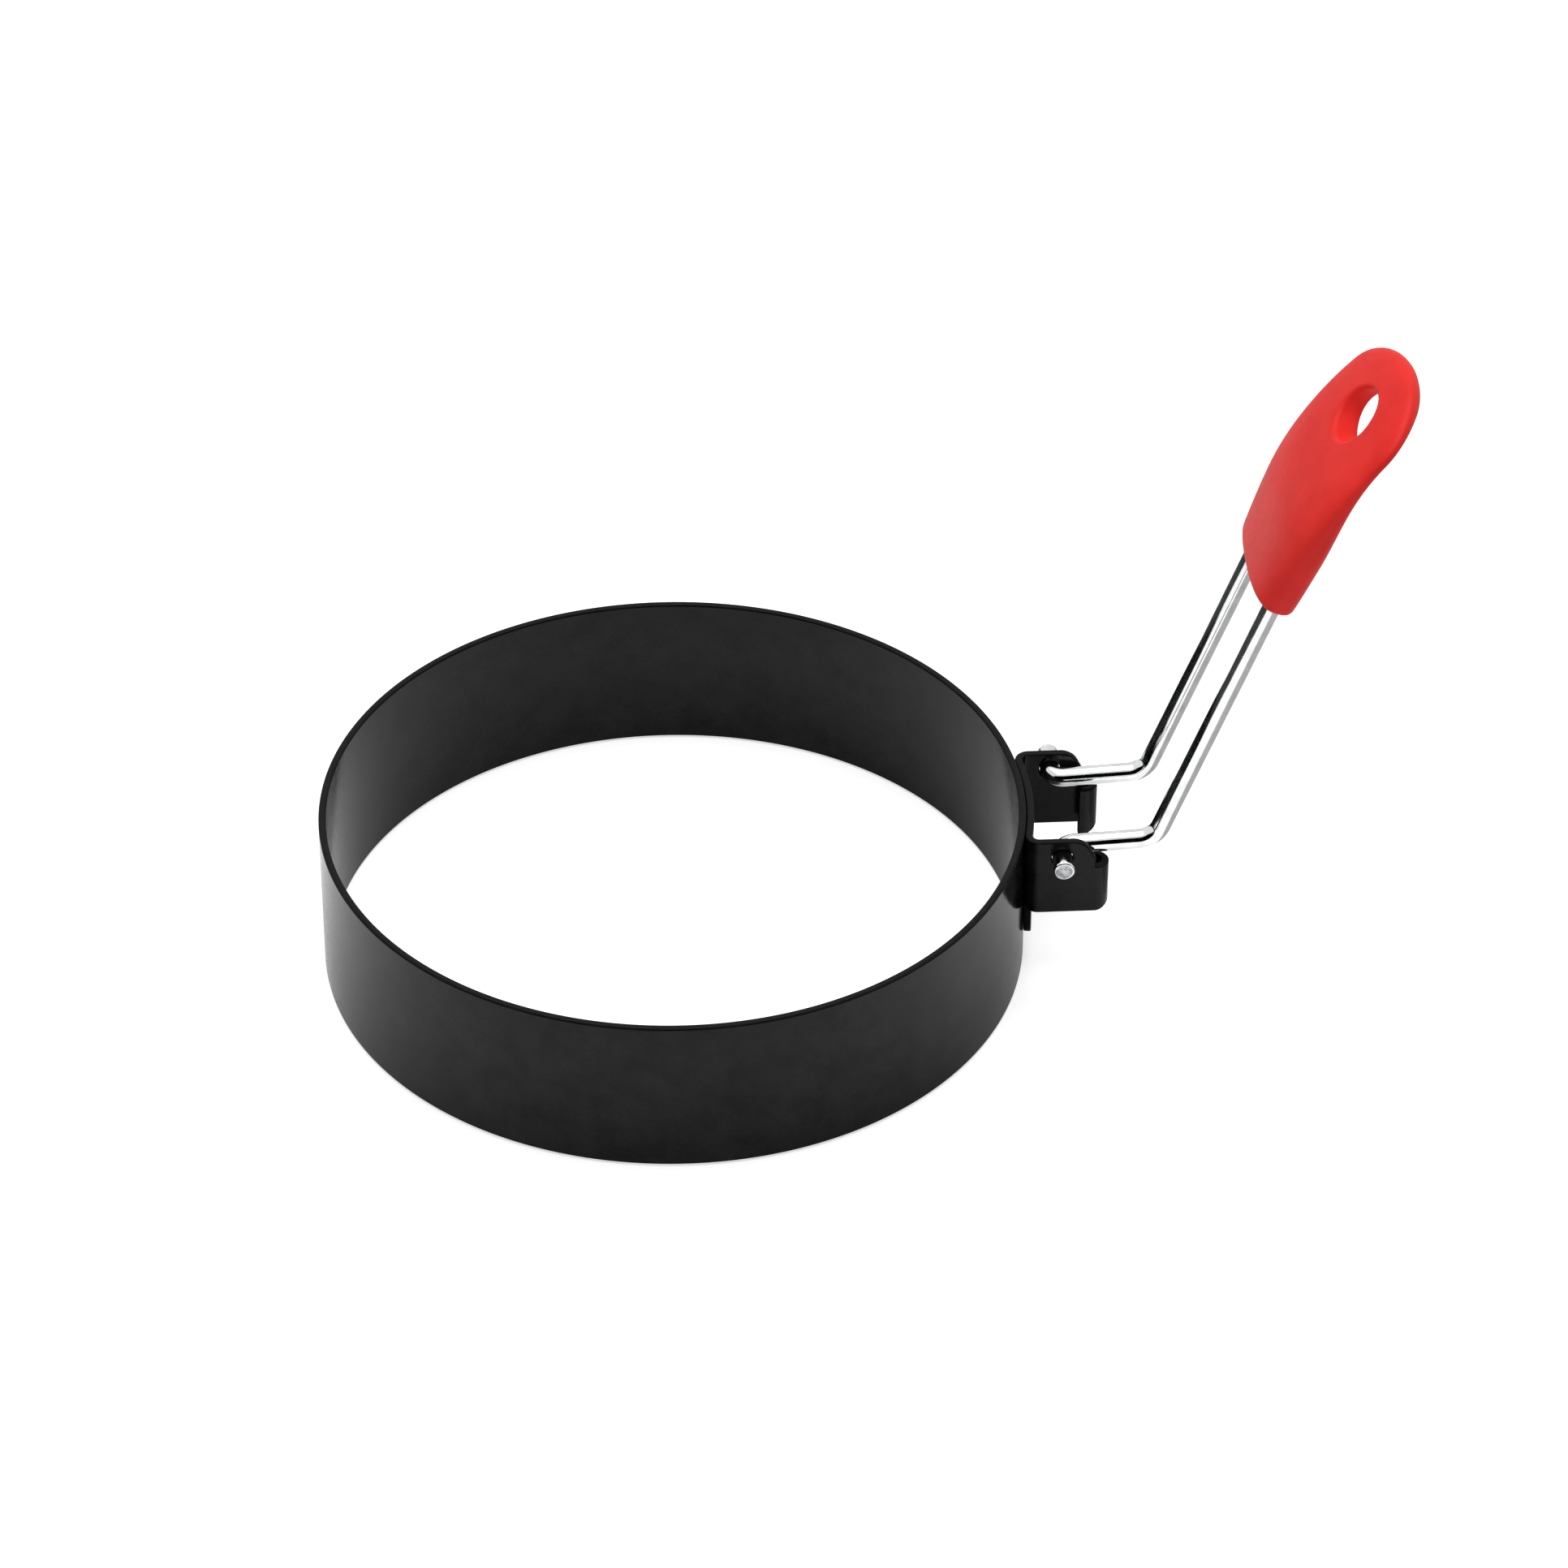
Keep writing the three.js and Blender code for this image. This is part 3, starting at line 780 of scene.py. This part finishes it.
def contact_shade():
    """A painted shade on the floor beside the band's foot, which fades away from its wall and is deeper
    on the handle's side."""
    material, tree = new_material("contact_shade")
    place = add(tree, "ShaderNodeTexCoord").outputs["Object"]
    reach = add(tree, "ShaderNodeVectorMath", {0: place, 1: (RING_X * MM, 0, 0)}, operation="DISTANCE")
    gap = add(tree, "ShaderNodeMath", {
        0: reach.outputs["Value"], 1: RING_RADIUS * MM,
    }, operation="SUBTRACT")
    gap = add(tree, "ShaderNodeMath", {0: gap.outputs[0]}, operation="ABSOLUTE")
    fade = add(tree, "ShaderNodeMapRange", {
        "Value": gap.outputs[0], "From Min": 0.0, "From Max": SHADE_REACH * MM,
        "To Min": 1.0, "To Max": 0.0,
    })
    across = add(tree, "ShaderNodeSeparateXYZ", {"Vector": place})
    side = add(tree, "ShaderNodeMapRange", {
        "Value": across.outputs["X"],
        "From Min": (RING_X - RING_RADIUS) * MM, "From Max": (RING_X + RING_RADIUS) * MM,
        "To Min": SHADE_LEFT, "To Max": SHADE_RIGHT,
    })
    depth = add(tree, "ShaderNodeMath", {0: fade.outputs[0], 1: side.outputs[0]}, operation="MULTIPLY")
    # Painted shade: a near-black sheet, mixed in as far as the fade and the side allow
    clear = add(tree, "ShaderNodeBsdfTransparent")
    dark = add(tree, "ShaderNodeBsdfDiffuse", {"Color": linear("#040404")})
    mixed = add(tree, "ShaderNodeMixShader", {
        0: depth.outputs[0], 1: clear.outputs[0], 2: dark.outputs[0],
    })
    add(tree, "ShaderNodeOutputMaterial", {"Surface": mixed.outputs[0]})
    return material


def reflected_room():
    """What only reflections see: the unlit room behind the camera, the floor past its lit middle and the
    painted shade beside the band's foot."""
    behind = Matrix.Translation(DARK_WALL_PLACE) @ Matrix.Rotation(math.pi / 2, 4, "X")
    behind = behind @ Matrix.Diagonal((DARK_WALL_STRETCH, 1, 1, 1))
    left = Matrix.Translation((DARK_FLOOR_X, 0, SCREEN_ABOVE))
    right = Matrix.Translation((GREY_FLOOR_EDGE, 0, SCREEN_ABOVE))
    right = right @ Matrix.Rotation(GREY_FLOOR_TURN, 4, "Z")
    right = right @ Matrix.Translation((GREY_FLOOR_SIZE / 2, 0, 0))
    under = Matrix.Translation((RING_X * MM, 0, SHADE_ABOVE))
    screens = [
        stage_plane("dark_wall", DARK_WALL_SIZE, behind, felt("black_felt", "#040404")),
        stage_plane("dark_floor", DARK_FLOOR_SIZE, left, felt("charcoal_felt", "#484848")),
        stage_plane("grey_floor", GREY_FLOOR_SIZE, right, felt("grey_felt", "#d2d2d2")),
        stage_plane("shaded_floor", SHADED_FLOOR_SIZE, under, contact_shade()),
    ]
    for screen in screens:
        screen.visible_camera = False
        screen.visible_diffuse = False
        screen.visible_shadow = False
        screen.visible_transmission = False


def studio_world():
    """A white room for the camera and for reflections, and a softer light from all round."""
    world = bpy.data.worlds.new("white_studio")
    bpy.context.scene.world = world
    world.use_nodes = True
    tree = world.node_tree
    tree.nodes.clear()
    white = add(tree, "ShaderNodeBackground", {"Color": linear("#ffffff"), "Strength": 1.0})
    fill = add(tree, "ShaderNodeBackground", {"Color": linear("#ffffff"), "Strength": FILL_STRENGTH})
    mixed = add(tree, "ShaderNodeMixShader", {
        0: showing_rays(tree), 1: fill.outputs[0], 2: white.outputs[0],
    })
    add(tree, "ShaderNodeOutputWorld", {"Surface": mixed.outputs[0]})


def key_softbox():
    """A square soft light overhead, pointed at the object."""
    light = bpy.data.lights.new("key_softbox", "AREA")
    light.shape = "SQUARE"
    light.size = KEY_SIZE
    light.energy = KEY_POWER
    lamp = bpy.data.objects.new("key_softbox", light)
    lamp.location = KEY_PLACE
    lamp.rotation_mode = "QUATERNION"
    lamp.rotation_quaternion = (Vector(KEY_AIM) - Vector(KEY_PLACE)).to_track_quat("-Z", "Y")
    bpy.context.scene.collection.objects.link(lamp)


def photo_camera():
    """The photograph's view: from the front, a little left, looking down at the ring."""
    data = bpy.data.cameras.new("photo_camera")
    data.sensor_width = SENSOR_WIDTH
    data.lens = CAMERA_LENS
    data.clip_start = 0.05
    data.clip_end = 20.0
    camera = bpy.data.objects.new("photo_camera", data)
    back = Vector((
        math.cos(CAMERA_ELEVATION) * math.cos(CAMERA_AZIMUTH),
        math.cos(CAMERA_ELEVATION) * math.sin(CAMERA_AZIMUTH),
        math.sin(CAMERA_ELEVATION),
    ))
    aim = (Vector((RING_X, 0, 0)) + Vector(CAMERA_AIM)) * MM
    camera.location = aim + back * CAMERA_DISTANCE
    camera.rotation_mode = "QUATERNION"
    camera.rotation_quaternion = (-back).to_track_quat("-Z", "Y")
    bpy.context.scene.collection.objects.link(camera)
    bpy.context.scene.camera = camera


coated_band()
pressed_bracket()
polished_wire()
moulded_grip()
studio_floor()
reflected_room()
studio_world()
key_softbox()
photo_camera()
bpy.context.scene.view_settings.view_transform = "Standard"
